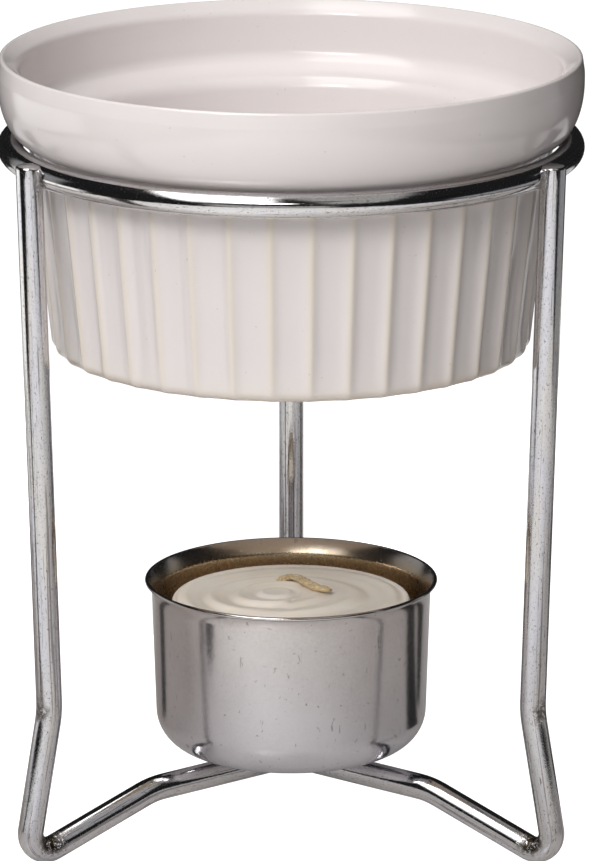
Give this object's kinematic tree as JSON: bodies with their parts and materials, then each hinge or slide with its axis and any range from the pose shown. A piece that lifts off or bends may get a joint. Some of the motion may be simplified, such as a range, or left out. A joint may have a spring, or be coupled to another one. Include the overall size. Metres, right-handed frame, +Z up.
{
  "type": "butter warmer",
  "caption": "Butter warmer: a fluted ceramic ramekin resting in a wire ring on three bent wire legs, over a steel cup with a wax tealight.",
  "frame": {"origin": "middle of the outline at the level of the feet; the stand's own axis is 1.65 mm in front of it, towards -Y, because the rear foot reaches out further than the ring does at the front", "axes": "+Z up, -Y towards the front between the two front legs, +X to the right seen from the front"},
  "size_m": [0.0902, 0.0936, 0.1229],
  "materials": {
    "chrome_wire": "polished",
    "satin_steel": "satin",
    "white_glaze": "gloss",
    "beige_wax": "satin",
    "wick_cotton": "matte",
    "tinned_plate": "satin"
  },
  "bodies": {
    "stand": {"support_ring": "chrome_wire", "leg_rear": "chrome_wire", "leg_left": "chrome_wire", "leg_right": "chrome_wire", "ring_weld_rear_a": "chrome_wire", "ring_weld_rear_b": "chrome_wire", "ring_weld_left_a": "chrome_wire", "ring_weld_left_b": "chrome_wire", "ring_weld_right_a": "chrome_wire", "ring_weld_right_b": "chrome_wire", "candle_cup": "satin_steel", "cup_weld_rear": "satin_steel", "cup_weld_left": "satin_steel", "cup_weld_right": "satin_steel"},
    "pot": {"ramekin": "white_glaze"},
    "candle": {"tealight_wax": "beige_wax", "wick": "wick_cotton", "wick_sustainer": "tinned_plate"}
  },
  "joints": [
    {"name": "pot_lift", "type": "slide", "parent": "stand", "child": "pot", "axis": [0, 0, 1], "range_m": [0, 0.06]},
    {"name": "candle_lift", "type": "slide", "parent": "stand", "child": "candle", "axis": [0, 0, 1], "range_m": [0, 0.03]}
  ]
}
